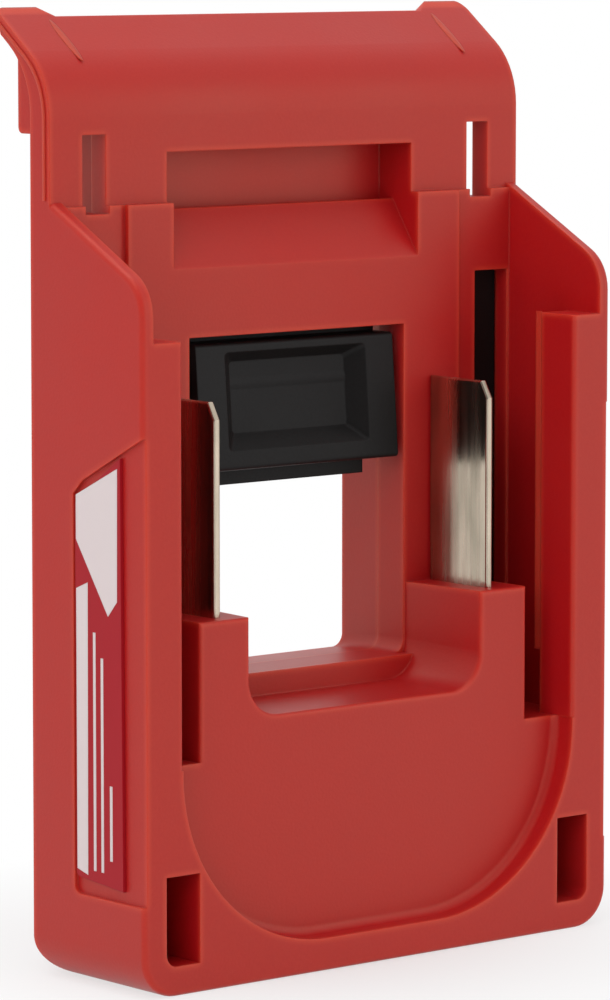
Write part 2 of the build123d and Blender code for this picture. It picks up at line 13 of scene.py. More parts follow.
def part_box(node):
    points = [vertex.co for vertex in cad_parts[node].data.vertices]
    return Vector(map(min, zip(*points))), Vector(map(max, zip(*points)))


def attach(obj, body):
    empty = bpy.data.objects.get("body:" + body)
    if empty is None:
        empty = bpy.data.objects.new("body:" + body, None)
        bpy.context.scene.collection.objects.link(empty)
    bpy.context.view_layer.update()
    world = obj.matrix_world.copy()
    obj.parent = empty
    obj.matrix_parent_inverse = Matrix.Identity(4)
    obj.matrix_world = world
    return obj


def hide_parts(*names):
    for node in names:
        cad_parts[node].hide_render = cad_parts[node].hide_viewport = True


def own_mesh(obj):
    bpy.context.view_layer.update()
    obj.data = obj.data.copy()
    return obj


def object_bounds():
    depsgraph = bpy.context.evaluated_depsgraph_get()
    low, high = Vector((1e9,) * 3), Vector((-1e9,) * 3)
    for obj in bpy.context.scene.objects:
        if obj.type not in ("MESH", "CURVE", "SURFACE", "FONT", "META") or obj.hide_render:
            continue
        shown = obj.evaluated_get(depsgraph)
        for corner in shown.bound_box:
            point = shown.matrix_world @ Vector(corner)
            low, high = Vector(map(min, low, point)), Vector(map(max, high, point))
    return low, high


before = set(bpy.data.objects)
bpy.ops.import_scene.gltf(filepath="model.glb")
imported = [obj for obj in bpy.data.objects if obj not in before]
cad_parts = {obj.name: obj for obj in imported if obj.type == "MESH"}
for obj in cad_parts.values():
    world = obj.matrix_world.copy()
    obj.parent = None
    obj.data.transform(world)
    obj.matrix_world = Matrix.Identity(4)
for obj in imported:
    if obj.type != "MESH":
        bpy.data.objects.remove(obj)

bl_info = {
    "name": "Tool Battery Adapter",
    "version": (1, 0, 0),
    "blender": (4, 5, 0),
    "location": "View3D > Sidebar > Adapter",
    "description": "Finishes, small pieces and studio for a slide-on tool battery adapter",
    "category": "Object",
}

MM = 0.001
BODY = "adapter_body"
CAD_BOX = [list(corner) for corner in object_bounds()]
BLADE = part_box("battery_blade_right")
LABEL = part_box("label_plate")
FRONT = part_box("housing")[0].y
SIDES = (-1, 1)
SIDE_WORDS = ("left", "right")

# Steps of the turned forms and of the springs' turns
CREASE_STEPS = 24
RIM_STEPS = 10
SPRING_STEPS = 20
WIRE_SIDES = 8
MERGE_REACH = 0.001 * MM

# Parting beads behind the lips
BEAD_DEPTH = 1.0 * MM
BEAD_HEIGHT = 38.0 * MM
BEAD_ACROSS = 27.75 * MM
BEAD_BEHIND = 5.9 * MM
BEAD_MIDDLE = 50.0 * MM
BEAD_ROUNDING = 0.3

# Prints in millimetres: the label's edge, the inset from it and the height above the label's foot
PRINT_BLOCK = (
    ("back", 0.15, 41.3),
    ("front", 0.75, 44.6),
    ("front", 0.85, 30.6),
    ("front", 2.4, 28.9),
    ("back", 0.15, 36.6),
)
PRINT_STRIP = (("back", 0.15, 31.4), ("back", 2.15, 32.2), ("back", 2.0, 1.0), ("back", 0.15, 1.5))
# Inset from the back edge, foot and head of each bar
PRINT_BARS = ((3.0, 1.6, 27.0), (4.3, 1.6, 24.4), (5.8, 3.0, 11.0))
PRINT_BAR_WIDTH = 0.45

# Only edges of a blade longer than this many thicknesses are rounded
BLADE_EDGE_LEAST = 1.5

# Scales, details and squeezes of the noises
GRAIN_SCALE = 3000.0
CLOUD_SCALE = 45.0
LINE_SCALE = 1800.0
BLADE_LINE_SCALE = 900.0
STREAK_SCALE = 260.0
GRAIN_DETAIL = 3.0
CLOUD_DETAIL = 4.0
LINE_SQUEEZE = 0.03
STREAK_SQUEEZE = 0.18
LINE_DETAIL = 5.0
NOISE_LOW = 0.33
NOISE_HIGH = 0.67

# Soft, lighter edges: painted glow standing in for the light let through and caught at thin edges
EDGE_GLOW_SHARE = 0.6
EDGE_GLOW_REACH = 0.75 * MM
EDGE_GLOW_FULL = 0.5
EDGE_SAMPLES = 6
GRAIN_SHARE = 0.16

# Roughness from low to high
RED_ROUGHNESS = (0.40, 0.50)
BLACK_ROUGHNESS = (0.38, 0.46)
FILM_ROUGHNESS = (0.34, 0.42)
STEEL_ROUGHNESS = (0.24, 0.36)
COPPER_ROUGHNESS = (0.28, 0.42)
CLIP_ROUGHNESS = (0.22, 0.34)
BLADE_ROUGHNESS = (0.16, 0.34)

# Relief: strength, depth and rounding of the edges
RED_RELIEF = (0.8, 0.02 * MM, 0.28 * MM)
BLACK_RELIEF = (0.9, 0.02 * MM, 0.25 * MM)
FILM_RELIEF = (0.08, 0.01 * MM, 0.1 * MM)
METAL_RELIEF = (0.12, 0.01 * MM, 0.08 * MM)

# Shine of the plastics, and the light that the red lets in
PLASTIC_IOR = 1.5
RED_SHINE = (1.0, 0.97, 0.68, 1)
BLACK_SHINE = 0.14
FILM_SHINE = 0.16
GLOW = 1.5 * MM
GLOW_SHARE = 0.35
GLOW_REACH = (1.0, 0.1, 0.06)

# Surround in reflections: where it starts and ends to dim towards the camera, and how far
DIM_START = 0.55
DIM_END = 0.9
DIM_LEVEL = 0.06

# Floor, with the distances over which it fades into the surround
FLOOR_COLOUR = (0.9, 0.9, 0.9, 1)
FLOOR_ROUGHNESS = 0.9
FLOOR_RADIUS = 3.0
FLOOR_STEPS = 96
FADE_START = -0.03
FADE_END = 0.06

# Lamps in metres: place and size
LAMP_AIM = (0, 0, 0.05)
KEY_LAMP = ((-0.75, -0.35, 0.5), (0.7, 0.7))
FILL_LAMP = ((0.35, -0.8, 0.25), (0.8, 0.6))
TOP_LAMP = ((-0.1, 0.15, 0.85), (0.7, 0.7))
SENSOR = 36.0
NEAREST_SEEN = 0.01


def length(label, note, millimetres):
    """A length as a property."""
    return FloatProperty(name=label, description=note, default=millimetres * MM, unit="LENGTH")


def tint(label, note, colour):
    """A colour as a property."""
    return FloatVectorProperty(
        name=label, description=note, subtype="COLOR", size=4, default=colour
    )


def watts(label, note, power):
    """A lamp's power as a property."""
    return FloatProperty(name=label, description=note, default=power, unit="POWER")


class AdapterSizes(bpy.types.PropertyGroup):
    """Sizes of the small pieces that the finishing adds."""

    blade_corner_deep: length("Blade corner depth", "Depth of the cut corner", 1.1)
    blade_corner_high: length("Blade corner height", "Height of the cut corner", 1.9)
    blade_edge: length("Blade edge", "Rounding of the blade's edges", 0.3)
    blade_front: length("Blade front", "Blade's front edge behind the body's front", 4.6)
    blade_back: length("Blade back", "Blade's back edge behind the body's front", 14.3)
    blade_foot: length("Blade foot", "Height of the post that the blade leaves", 38.8)
    tail_front: length("Tail front", "Front of the blade's hidden tail", 6.5)
    tail_back: length("Tail back", "Back of the blade's hidden tail", 12.0)
    print_thickness: length("Print thickness", "Thickness of the printed areas", 0.02)
    bead: length("Parting bead", "Width of the fine parting beads", 0.11)
    spring_wire: length("Spring wire", "Diameter of the latch springs' wire", 0.36)
    spring_pitch: length("Spring pitch", "Advance of one turn of a latch spring", 1.02)
    head_front: length("Head front", "Head's front behind the body's front", 15.66)
    head_foot: length("Head foot", "Height where the head leaves the shoulder", 83.0)
    head_bend: length("Head bend height", "Height where the head's bend starts", 91.63)
    head_bend_radius: length("Head bend radius", "Radius of the head's bend", 8.7)
    head_lean: FloatProperty(
        name="Head lean",
        description="Turn of the lip from upright",
        default=math.radians(53.3),
        subtype="ANGLE",
    )
    head_slope: length("Head slope", "Length of the lip's slope that the rim follows", 6.4)
    lip_tip: length("Lip tip", "Lip's tip behind the body's front", 25.2)
    crease_across: length("Crease place", "Crease's distance from the middle", 27.0)
    crease_start: length("Crease start", "Crease's start below the lip's tip", 2.2)
    crease_length: length("Crease length", "Length of the crease down the slope", 7.2)
    crease_width: length("Crease width", "Width of the crease at its middle", 1.0)
    crease_rise: length("Crease rise", "How far the crease stands off the slope", 0.08)
    rim_inset: length("Rim inset", "Head rim's distance from the front edge", 0.85)
    rim_width: length("Rim width", "Width of the head's side rim", 0.4)
    rim_rise: length("Rim rise", "How far the rim stands off the side", 0.16)


class AdapterColours(bpy.types.PropertyGroup):
    """Colours of the finishes, in linear light."""

    red: tint("Red plastic", "Moulded housing", (0.432, 0.001, 0.007, 1))
    red_soft: tint("Red, paler", "Cloudier areas", (0.452, 0.005, 0.010, 1))
    # Painted glow on thin edges, in place of the light let through and caught there; also the
    # paler tone of the grain
    red_glow_and_grain: tint("Red, painted edge glow and grain", "Thin edges that let light in", (0.66, 0.06, 0.03, 1))
    black: tint("Black plastic", "Lever and carrier", (0.006, 0.005, 0.005, 1))
    black_grain: tint("Black, grain", "Paler grain of the black plastic", (0.040, 0.038, 0.037, 1))
    blade: tint("Blade plating", "Nickel plating", (0.66, 0.55, 0.44, 1))
    blade_worn: tint("Blade, rubbed", "Rubbed streaks", (0.30, 0.265, 0.20, 1))
    steel: tint("Steel", "Pin, springs, screws", (0.52, 0.51, 0.49, 1))
    copper: tint("Copper", "Contact links", (0.72, 0.36, 0.22, 1))
    film: tint("Label red", "Label's ground", (0.39, 0.010, 0.018, 1))
    film_white: tint("Label white", "Label's white areas", (0.76, 0.66, 0.66, 1))


class AdapterStage(bpy.types.PropertyGroup):
    """Camera, lamps and surround."""

    camera_place: FloatVectorProperty(
        name="Camera place",
        description="Where the camera stands",
        subtype="TRANSLATION",
        size=3,
        default=(-0.35552, -0.42588, 0.11312),
    )
    camera_aim: FloatVectorProperty(
        name="Camera aim",
        description="Direction of view",
        subtype="DIRECTION",
        size=3,
        default=(0.63676, 0.76252, -0.11446),
    )
    lens: FloatProperty(name="Lens", description="Focal length in millimetres", default=183.6)
    key: watts("Key lamp", "Large lamp at the left, in watts", 3.15)
    fill: watts("Fill lamp", "Large lamp at the right, in watts", 1.65)
    top: watts("Top lamp", "Lamp above, in watts", 2.7)
    sky: FloatProperty(name="Sky", description="Even light from all round", default=0.42)


def props():
    """The three groups of values on the scene."""
    scene = bpy.context.scene
    return scene.adapter_sizes, scene.adapter_colours, scene.adapter_stage


def node_group(name, inputs, outputs):
    """A new shader node group with its in and out nodes."""
    group = bpy.data.node_groups.new(name, "ShaderNodeTree")
    for label, default in inputs:
        socket = group.interface.new_socket(label, in_out="INPUT", socket_type="NodeSocketFloat")
        socket.default_value = default
    for label in outputs:
        group.interface.new_socket(label, in_out="OUTPUT", socket_type="NodeSocketFloat")
    return group, group.nodes.new("NodeGroupInput"), group.nodes.new("NodeGroupOutput")


def moulded_grain():
    """Fine spark-eroded grain and slow clouding, as heights and masks."""
    name = "moulded_grain"
    if name in bpy.data.node_groups:
        return bpy.data.node_groups[name]
    group, start, end = node_group(
        name, (("Grain scale", GRAIN_SCALE), ("Cloud scale", CLOUD_SCALE)), ("Grain", "Cloud")
    )
    place = group.nodes.new("ShaderNodeTexCoord")
    for output, source, detail in (
        ("Grain", "Grain scale", GRAIN_DETAIL),
        ("Cloud", "Cloud scale", CLOUD_DETAIL),
    ):
        noise = group.nodes.new("ShaderNodeTexNoise")
        noise.inputs["Detail"].default_value = detail
        group.links.new(place.outputs["Object"], noise.inputs["Vector"])
        group.links.new(start.outputs[source], noise.inputs["Scale"])
        group.links.new(noise.outputs["Fac"], end.inputs[output])
    return group


def soft_edges():
    """Mask of the thin outer edges within a reach, where painted glow lightens the colour."""
    name = "soft_edges"
    if name in bpy.data.node_groups:
        return bpy.data.node_groups[name]
    group, start, end = node_group(name, (("Reach", EDGE_GLOW_REACH),), ("Edges",))
    inner = group.nodes.new("ShaderNodeAmbientOcclusion")
    inner.inside = True
    inner.only_local = True
    inner.samples = EDGE_SAMPLES
    group.links.new(start.outputs["Reach"], inner.inputs["Distance"])
    turned = group.nodes.new("ShaderNodeMapRange")
    turned.inputs["From Min"].default_value = 1.0
    turned.inputs["From Max"].default_value = EDGE_GLOW_FULL
    group.links.new(inner.outputs["AO"], turned.inputs["Value"])
    group.links.new(turned.outputs["Result"], end.inputs["Edges"])
    return group


def drawn_lines():
    """Fine lines drawn up and down a metal face, and broader rubbed streaks."""
    name = "drawn_lines"
    if name in bpy.data.node_groups:
        return bpy.data.node_groups[name]
    group, start, end = node_group(
        name, (("Line scale", LINE_SCALE), ("Streak scale", STREAK_SCALE)), ("Lines", "Streaks")
    )
    place = group.nodes.new("ShaderNodeTexCoord")
    for output, source, squeeze in (
        ("Lines", "Line scale", LINE_SQUEEZE),
        ("Streaks", "Streak scale", STREAK_SQUEEZE),
    ):
        stretch = group.nodes.new("ShaderNodeMapping")
        stretch.inputs["Scale"].default_value = (1.0, 1.0, squeeze)
        noise = group.nodes.new("ShaderNodeTexNoise")
        noise.inputs["Detail"].default_value = LINE_DETAIL
        group.links.new(place.outputs["Object"], stretch.inputs["Vector"])
        group.links.new(stretch.outputs["Vector"], noise.inputs["Vector"])
        group.links.new(start.outputs[source], noise.inputs["Scale"])
        group.links.new(noise.outputs["Fac"], end.inputs[output])
    return group


def new_material(name):
    """A material with its node tree and its shader."""
    material = bpy.data.materials.new(name)
    material.use_nodes = True
    shader = material.node_tree.nodes["Principled BSDF"]
    return material, material.node_tree, shader


def spread(tree, source, low, high):
    """A value between low and high as the source goes from a third to two thirds."""
    node = tree.nodes.new("ShaderNodeMapRange")
    node.inputs["From Min"].default_value = NOISE_LOW
    node.inputs["From Max"].default_value = NOISE_HIGH
    node.inputs["To Min"].default_value = low
    node.inputs["To Max"].default_value = high
    tree.links.new(source, node.inputs["Value"])
    return node.outputs["Result"]


def blend_colours(tree, mask, first, second):
    """A colour between first and second by the mask."""
    node = tree.nodes.new("ShaderNodeMix")
    node.data_type = "RGBA"
    node.inputs["A"].default_value = first
    node.inputs["B"].default_value = second
    tree.links.new(mask, node.inputs["Factor"])
    return node.outputs["Result"]


def layer_colour(tree, mask, share, below, above):
    """A colour laid over a colour output by a share of the mask."""
    part = tree.nodes.new("ShaderNodeMath")
    part.operation = "MULTIPLY"
    part.inputs[1].default_value = share
    tree.links.new(mask, part.inputs[0])
    node = tree.nodes.new("ShaderNodeMix")
    node.data_type = "RGBA"
    node.inputs["B"].default_value = above
    tree.links.new(below, node.inputs["A"])
    tree.links.new(part.outputs["Value"], node.inputs["Factor"])
    return node.outputs["Result"]


def relief(tree, shader, height, strength, depth, edge):
    """Bump from the height over softly rounded edges."""
    soft = tree.nodes.new("ShaderNodeBevel")
    soft.samples = EDGE_SAMPLES
    soft.inputs["Radius"].default_value = edge
    bump = tree.nodes.new("ShaderNodeBump")
    bump.inputs["Strength"].default_value = strength
    bump.inputs["Distance"].default_value = depth
    tree.links.new(height, bump.inputs["Height"])
    tree.links.new(soft.outputs["Normal"], bump.inputs["Normal"])
    tree.links.new(bump.outputs["Normal"], shader.inputs["Normal"])


def plastic(name, first, second, edge, edge_glow_share, roughness, surface):
    """Moulded plastic with fine grain, slow clouding and, by a share, lighter edges of painted
    glow in place of the light caught at thin edges.
    """
    material, tree, shader = new_material(name)
    grain = tree.nodes.new("ShaderNodeGroup")
    grain.node_tree = moulded_grain()
    colour = blend_colours(tree, spread(tree, grain.outputs["Cloud"], 0.0, 1.0), first, second)
    # Painted glow: the edge colour laid over thin outer edges, standing in for light let through
    # and caught there
    if edge_glow_share:
        rims = tree.nodes.new("ShaderNodeGroup")
        rims.node_tree = soft_edges()
        rims.inputs["Reach"].default_value = EDGE_GLOW_REACH
        colour = layer_colour(tree, rims.outputs["Edges"], edge_glow_share, colour, edge)
    # The grain takes a share of the same edge colour as its paler tone
    colour = layer_colour(tree, grain.outputs["Grain"], GRAIN_SHARE, colour, edge)
    tree.links.new(colour, shader.inputs["Base Color"])
    tree.links.new(spread(tree, grain.outputs["Cloud"], *roughness), shader.inputs["Roughness"])
    relief(tree, shader, grain.outputs["Grain"], *surface)
    shader.inputs["IOR"].default_value = PLASTIC_IOR
    return material


def metal(name, first, second, roughness, line_scale=LINE_SCALE):
    """Drawn metal with rubbed streaks."""
    material, tree, shader = new_material(name)
    lines = tree.nodes.new("ShaderNodeGroup")
    lines.node_tree = drawn_lines()
    lines.inputs["Line scale"].default_value = line_scale
    streaks = spread(tree, lines.outputs["Streaks"], 0.0, 1.0)
    tree.links.new(blend_colours(tree, streaks, first, second), shader.inputs["Base Color"])
    tree.links.new(spread(tree, lines.outputs["Lines"], *roughness), shader.inputs["Roughness"])
    shader.inputs["Metallic"].default_value = 1.0
    relief(tree, shader, lines.outputs["Lines"], *METAL_RELIEF)
    return material


def steel(name):
    """Plain steel of one colour."""
    colour = props()[1].steel[:]
    return metal(name, colour, colour, STEEL_ROUGHNESS)


def red_plastic():
    """The mouldings' red, made once and shared by all red pieces."""
    # Not the slot's name, which a plain material of the frame already has.
    name = "moulded_red"
    if name in bpy.data.materials:
        return bpy.data.materials[name]
    colours = props()[1]
    red = colours.red[:]
    soft = colours.red_soft[:]
    # Edge colour: painted glow on thin edges, and the grain's paler tone
    edge = colours.red_glow_and_grain[:]
    material = plastic(name, red, soft, edge, EDGE_GLOW_SHARE, RED_ROUGHNESS, RED_RELIEF)
    shader = material.node_tree.nodes["Principled BSDF"]
    shader.inputs["Specular Tint"].default_value = RED_SHINE
    shader.inputs["Subsurface Weight"].default_value = GLOW_SHARE
    shader.inputs["Subsurface Radius"].default_value = GLOW_REACH
    shader.inputs["Subsurface Scale"].default_value = GLOW
    return material


def black_plastic():
    """The lever's and carrier's black, whose edges are not lighter."""
    colours = props()[1]
    black = colours.black[:]
    grain = colours.black_grain[:]
    material = plastic("black_plastic", black, black, grain, 0, BLACK_ROUGHNESS, BLACK_RELIEF)
    shader = material.node_tree.nodes["Principled BSDF"]
    shader.inputs["Specular IOR Level"].default_value = BLACK_SHINE
    return material


def label_film(name, colour):
    """Printed film with a slight gloss."""
    material, tree, shader = new_material(name)
    grain = tree.nodes.new("ShaderNodeGroup")
    grain.node_tree = moulded_grain()
    cloud = grain.outputs["Cloud"]
    tree.links.new(spread(tree, cloud, *FILM_ROUGHNESS), shader.inputs["Roughness"])
    relief(tree, shader, grain.outputs["Grain"], *FILM_RELIEF)
    shader.inputs["Base Color"].default_value = colour
    shader.inputs["Specular IOR Level"].default_value = FILM_SHINE
    return material


def paint(names, material):
    """Gives CAD nodes one material."""
    for name in names:
        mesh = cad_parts[name].data
        mesh.materials.clear()
        mesh.materials.append(material)


def mesh_piece(name, bm, material, body=BODY, smooth=False):
    """A finished piece at the origin that rides on a body."""
    bmesh.ops.recalc_face_normals(bm, faces=bm.faces)
    mesh = bpy.data.meshes.new(name)
    bm.to_mesh(mesh)
    bm.free()
    for polygon in mesh.polygons:
        polygon.use_smooth = smooth
    mesh.materials.append(material)
    piece = bpy.data.objects.new(name, mesh)
    bpy.context.scene.collection.objects.link(piece)
    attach(piece, body)
    return piece


def verts_of(items):
    """The vertices among a bmesh operation's results."""
    return [item for item in items if isinstance(item, bmesh.types.BMVert)]


def faces_of(items):
    """The faces among a bmesh operation's results."""
    return [item for item in items if isinstance(item, bmesh.types.BMFace)]


def plate_mesh(outline, start, thickness):
    """An outline in the side plane, given a thickness along X."""
    bm = bmesh.new()
    corners = [bm.verts.new((start, y, z)) for y, z in outline]
    face = bm.faces.new(corners)
    grown = bmesh.ops.extrude_face_region(bm, geom=[face])
    bmesh.ops.translate(bm, verts=verts_of(grown["geom"]), vec=(thickness, 0, 0))
    bmesh.ops.recalc_face_normals(bm, faces=bm.faces)
    return bm


def soften(bm, edges, width, segments=3):
    """Rounds the chosen edges."""
    bmesh.ops.bevel(
        bm,
        geom=edges,
        offset=width,
        offset_type="OFFSET",
        affect="EDGES",
        segments=segments,
        profile=0.5,
        material=-1,
    )


def blade_outline(sizes):
    """Side outline of a battery blade with its hidden tail."""
    low, high = BLADE
    front = FRONT + sizes.blade_front
    back = FRONT + sizes.blade_back
    return [
        (front, sizes.blade_foot),
        (front, high.z - sizes.blade_corner_high),
        (front + sizes.blade_corner_deep, high.z),
        (back, high.z),
        (back, sizes.blade_foot),
        (FRONT + sizes.tail_back, sizes.blade_foot),
        (FRONT + sizes.tail_back, low.z),
        (FRONT + sizes.tail_front, low.z),
        (FRONT + sizes.tail_front, sizes.blade_foot),
    ]


def label_corner(edge, inset, height):
    """A print's corner, inset from the label's front or back edge, above its foot."""
    low, high = LABEL
    across = high.y - inset * MM if edge == "back" else low.y + inset * MM
    return across, low.z + height * MM


class PieceOperator(bpy.types.Operator):
    """Shared settings of the adapter's operators."""

    bl_options = {"REGISTER", "UNDO"}


class ADAPTER_OT_red_mouldings(PieceOperator):
    """Finishes the front moulding and the rear cover"""

    bl_idname = "adapter.red_mouldings"
    bl_label = "Red mouldings"

    def execute(self, context):
        paint(("housing", "rear_cover"), red_plastic())
        return {"FINISHED"}


class ADAPTER_OT_black_parts(PieceOperator):
    """Finishes the lever, the carrier and the contact holder"""

    bl_idname = "adapter.black_parts"
    bl_label = "Black parts"

    def execute(self, context):
        paint(("latch_lever", "inner_carrier", "contact_holder"), black_plastic())
        return {"FINISHED"}


class ADAPTER_OT_metal_parts(PieceOperator):
    """Finishes the pin, springs, screws, rivets, links and clips"""

    bl_idname = "adapter.metal_parts"
    bl_label = "Metal parts"

    def execute(self, context):
        colours = props()[1]
        paint(
            (
                "latch_pivot_pin",
                "latch_spring_left",
                "latch_spring_right",
                "link_rivets_left",
                "link_rivets_right",
                "cover_screws",
            ),
            steel("plain_steel"),
        )
        copper = metal("bare_copper", colours.copper[:], colours.copper[:], COPPER_ROUGHNESS)
        paint(("contact_link_left", "contact_link_right"), copper)
        plated = metal("plated_clip", colours.blade[:], colours.blade_worn[:], CLIP_ROUGHNESS)
        paint(("tool_clip_left", "tool_clip_right"), plated)
        return {"FINISHED"}


class ADAPTER_OT_springs(PieceOperator):
    """Winds the two latch springs"""

    bl_idname = "adapter.springs"
    bl_label = "Latch springs"

    def execute(self, context):
        sizes = props()[0]
        material = steel("spring_steel")
        wire = sizes.spring_wire / 2
        for word in SIDE_WORDS:
            low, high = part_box(f"latch_spring_{word}")
            middle = (low + high) / 2
            coil = (high.x - low.x) / 2 - wire
            length = high.y - low.y - 2 * wire
            turns = length / sizes.spring_pitch
            steps = round(turns * SPRING_STEPS)
            bm = bmesh.new()
            bmesh.ops.create_circle(bm, cap_ends=True, segments=WIRE_SIDES, radius=wire)
            bmesh.ops.translate(bm, verts=bm.verts, vec=(middle.x + coil, low.y + wire, middle.z))
            bmesh.ops.spin(
                bm,
                geom=bm.faces[:],
                cent=(middle.x, low.y + wire, middle.z),
                axis=(0, 1, 0),
                dvec=(0, length / steps, 0),
                angle=math.tau * turns,
                steps=steps,
                use_duplicate=False,
            )
            piece = mesh_piece(f"latch_spring_{word}_wound", bm, material, smooth=True)
            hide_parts(f"latch_spring_{word}")
            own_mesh(piece)
        return {"FINISHED"}


class ADAPTER_OT_blades(PieceOperator):
    """Builds the two battery blades with rounded edges and drawn faces"""

    bl_idname = "adapter.blades"
    bl_label = "Battery blades"

    def execute(self, context):
        sizes, colours, _ = props()
        bright, worn = colours.blade[:], colours.blade_worn[:]
        plated = metal("plated_blade", bright, worn, BLADE_ROUGHNESS, BLADE_LINE_SCALE)
        low, high = BLADE
        thickness = high.x - low.x
        foot = sizes.blade_foot
        for side, word in zip(SIDES, SIDE_WORDS):
            start = side * low.x
            bm = plate_mesh(blade_outline(sizes), start, side * thickness)
            exposed = [
                edge
                for edge in bm.edges
                if edge.calc_length() > thickness * BLADE_EDGE_LEAST
                and min(v.co.z for v in edge.verts) > foot - MM
                and max(v.co.y for v in edge.verts) < FRONT + sizes.blade_back + MM
                and (max(v.co.z for v in edge.verts) - foot) > MM
            ]
            soften(bm, exposed, sizes.blade_edge)
            piece = mesh_piece(f"battery_blade_{word}_finished", bm, plated)
            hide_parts(f"battery_blade_{word}")
        return {"FINISHED"}


class ADAPTER_OT_label(PieceOperator):
    """Finishes the film label with plain blocks and bars"""

    bl_idname = "adapter.label"
    bl_label = "Label"

    def execute(self, context):
        sizes, colours, _ = props()
        ground = label_film("label_ground", colours.film[:])
        paint(("label_plate",), ground)
        white = label_film("label_white", colours.film_white[:])
        outlines = [[label_corner(*row) for row in rows] for rows in (PRINT_BLOCK, PRINT_STRIP)]
        for inset, foot, head in PRINT_BARS:
            far = inset + PRINT_BAR_WIDTH
            rows = ((inset, foot), (far, foot), (far, head), (inset, head))
            outlines.append([label_corner("back", *row) for row in rows])
        for count, outline in enumerate(outlines):
            bm = plate_mesh(outline, LABEL[0].x, -sizes.print_thickness)
            piece = mesh_piece(f"label_print_{count + 1}", bm, white)
        return {"FINISHED"}


class ADAPTER_OT_parting_beads(PieceOperator):
    """Adds the fine parting beads left by the mould behind the lips"""

    bl_idname = "adapter.parting_beads"
    bl_label = "Parting beads"

    def execute(self, context):
        sizes = props()[0]
        material = red_plastic()
        for side, word in zip(SIDES, SIDE_WORDS):
            bm = bmesh.new()
            bmesh.ops.create_cube(bm, size=1.0)
            bmesh.ops.scale(bm, vec=(sizes.bead, BEAD_DEPTH, BEAD_HEIGHT), verts=bm.verts)
            centre = (side * BEAD_ACROSS, FRONT + BEAD_BEHIND, BEAD_MIDDLE)
            bmesh.ops.translate(bm, verts=bm.verts, vec=centre)
            soften(bm, bm.edges[:], sizes.bead * BEAD_ROUNDING, segments=2)
            piece = mesh_piece(f"parting_bead_{word}", bm, material)
        return {"FINISHED"}


class ADAPTER_OT_head_rims(PieceOperator):
    """Adds the fine rim that follows the head's profile on both sides"""

    bl_idname = "adapter.head_rims"
    bl_label = "Head rims"

    def execute(self, context):
        sizes = props()[0]
        material = red_plastic()
        centre = Vector((0, FRONT + sizes.head_front + sizes.head_bend_radius, sizes.head_bend))
        for side, word in zip(SIDES, SIDE_WORDS):
            bm = bmesh.new()
            bmesh.ops.create_grid(bm, x_segments=1, y_segments=1, size=0.5)
            bmesh.ops.scale(bm, vec=(2 * sizes.rim_rise, sizes.rim_width, 1), verts=bm.verts)
            front = FRONT + sizes.head_front + sizes.rim_inset
            start = (side * CAD_BOX[1][0], front, sizes.head_foot)
            bmesh.ops.translate(bm, verts=bm.verts, vec=start)
            grown = bmesh.ops.extrude_face_region(bm, geom=bm.faces[:])["geom"]
            rise = (0, 0, sizes.head_bend - sizes.head_foot)
            bmesh.ops.translate(bm, verts=verts_of(grown), vec=rise)
            end = faces_of(grown)
            inner = end[:]
            turned = bmesh.ops.spin(
                bm,
                geom=end,
                cent=centre,
                axis=(1, 0, 0),
                angle=-sizes.head_lean,
                steps=RIM_STEPS,
                use_duplicate=False,
            )["geom_last"]
            end = faces_of(turned)
            inner += end
            grown = bmesh.ops.extrude_face_region(bm, geom=end)["geom"]
            along = Vector((0, math.sin(sizes.head_lean), math.cos(sizes.head_lean)))
            bmesh.ops.translate(bm, verts=verts_of(grown), vec=along * sizes.head_slope)
            inner = [face for face in inner if face.is_valid]
            bmesh.ops.delete(bm, geom=inner, context="FACES_ONLY")
            bmesh.ops.remove_doubles(bm, verts=bm.verts, dist=MERGE_REACH)
            piece = mesh_piece(f"head_rim_{word}", bm, material)
        return {"FINISHED"}


class ADAPTER_OT_lug_creases(PieceOperator):
    """Adds the soft ridge that runs down the lip's slope from each lug"""

    bl_idname = "adapter.lug_creases"
    bl_label = "Lug creases"

    def execute(self, context):
        sizes = props()[0]
        material = red_plastic()
        tip = Vector((0, FRONT + sizes.lip_tip, CAD_BOX[1][2]))
        down = Vector((0, -math.sin(sizes.head_lean), -math.cos(sizes.head_lean)))
        for side, word in zip(SIDES, SIDE_WORDS):
            bm = bmesh.new()
            bmesh.ops.create_uvsphere(
                bm, u_segments=CREASE_STEPS, v_segments=CREASE_STEPS, radius=0.5
            )
            size = (sizes.crease_width, 2 * sizes.crease_rise, sizes.crease_length)
            bmesh.ops.scale(bm, vec=size, verts=bm.verts)
            lean = Matrix.Rotation(-sizes.head_lean, 3, "X")
            bmesh.ops.rotate(bm, verts=bm.verts, cent=(0, 0, 0), matrix=lean)
            centre = tip + down * (sizes.crease_start + sizes.crease_length / 2)
            centre.x = side * sizes.crease_across
            bmesh.ops.translate(bm, verts=bm.verts, vec=centre)
            piece = mesh_piece(f"lug_crease_{word}", bm, material, smooth=True)
        return {"FINISHED"}


def area_lamp(name, place, size, power):
    """A large soft lamp that looks at the adapter."""
    data = bpy.data.lights.new(name, "AREA")
    data.shape = "RECTANGLE"
    data.size, data.size_y = size
    data.energy = power
    lamp = bpy.data.objects.new(name, data)
    lamp.location = place
    lamp.rotation_mode = "QUATERNION"
    lamp.rotation_quaternion = (Vector(LAMP_AIM) - Vector(place)).to_track_quat("-Z", "Y")
    bpy.context.scene.collection.objects.link(lamp)
    return lamp


